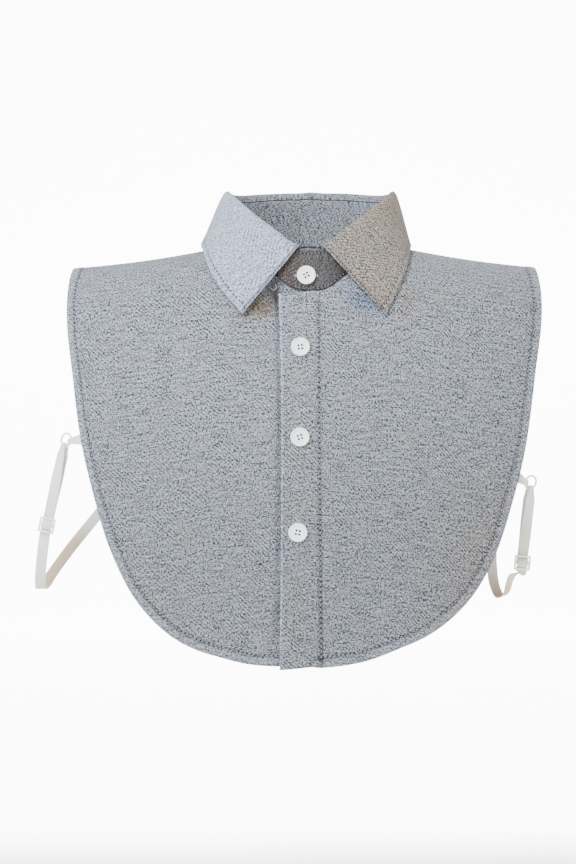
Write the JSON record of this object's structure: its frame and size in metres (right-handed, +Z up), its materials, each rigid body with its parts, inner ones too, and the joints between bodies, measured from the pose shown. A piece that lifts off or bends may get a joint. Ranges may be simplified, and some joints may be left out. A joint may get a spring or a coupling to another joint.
{
  "type": "detachable shirt collar",
  "caption": "Detachable false shirt collar: buttoned point collar on a short rounded bib with placket, back panel and adjustable elastic side straps.",
  "frame": {"origin": "middle of the neck, level with the point where it meets the shoulders", "axes": "+Z up along the neck, +Y to the wearer's back, +X to the viewer's right seen from the front"},
  "size_m": [0.3762, 0.1804, 0.3547],
  "materials": {
    "grey_oxford_cloth": "melange oxford weave",
    "white_button_plastic": "polished",
    "white_hardware_plastic": "glossy",
    "white_elastic": "ribbed elastic"
  },
  "bodies": {
    "root": {"left_front": "grey_oxford_cloth", "right_front": "grey_oxford_cloth", "back_panel": "grey_oxford_cloth", "collar_stand": "grey_oxford_cloth", "collar_leaf": "grey_oxford_cloth", "stand_button": "white_button_plastic", "placket_button_1": "white_button_plastic", "placket_button_2": "white_button_plastic", "placket_button_3": "white_button_plastic", "left_ring_tab": "white_elastic", "right_ring_tab": "white_elastic", "left_ring": "white_hardware_plastic", "right_ring": "white_hardware_plastic", "left_slider": "white_hardware_plastic", "right_slider": "white_hardware_plastic", "left_strap": "white_elastic", "right_strap": "white_elastic"}
  },
  "joints": []
}
